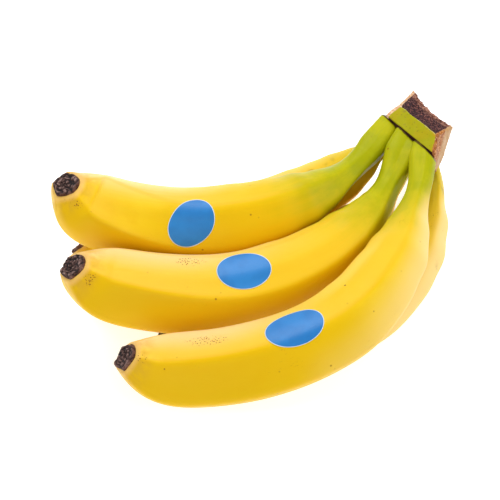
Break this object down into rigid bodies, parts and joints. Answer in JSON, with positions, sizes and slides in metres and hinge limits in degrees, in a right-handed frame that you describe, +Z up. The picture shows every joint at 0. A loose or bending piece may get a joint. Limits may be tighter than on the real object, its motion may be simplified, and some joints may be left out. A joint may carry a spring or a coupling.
{
  "type": "bunch of bananas",
  "caption": "Small bunch of ripe bananas lying on its side: curved fingers in two layers on one cut green crown, with plain oval stickers.",
  "frame": {"origin": "under the middle of the bunch, on the surface that it lies on", "axes": "+X towards the crown's end, +Y towards the fingers' inner side, away from the long front finger, +Z up"},
  "size_m": [0.2028, 0.1916, 0.0838],
  "materials": {
    "peel": "smooth waxy peel, yellow, green at the stalk and brown at the dry tip",
    "crown": "green pad with rough dark cut faces and a tan end",
    "sticker": "plain blue coated paper with a thin pale rim, satin"
  },
  "bodies": {
    "root": {"crown": "crown", "upper_banana_back": "peel", "upper_banana_middle": "peel", "upper_banana_front": "peel", "lower_banana_back": "peel", "lower_banana_middle": "peel", "lower_banana_front": "peel", "label_back": "sticker", "label_middle": "sticker", "label_front": "sticker"}
  },
  "joints": []
}
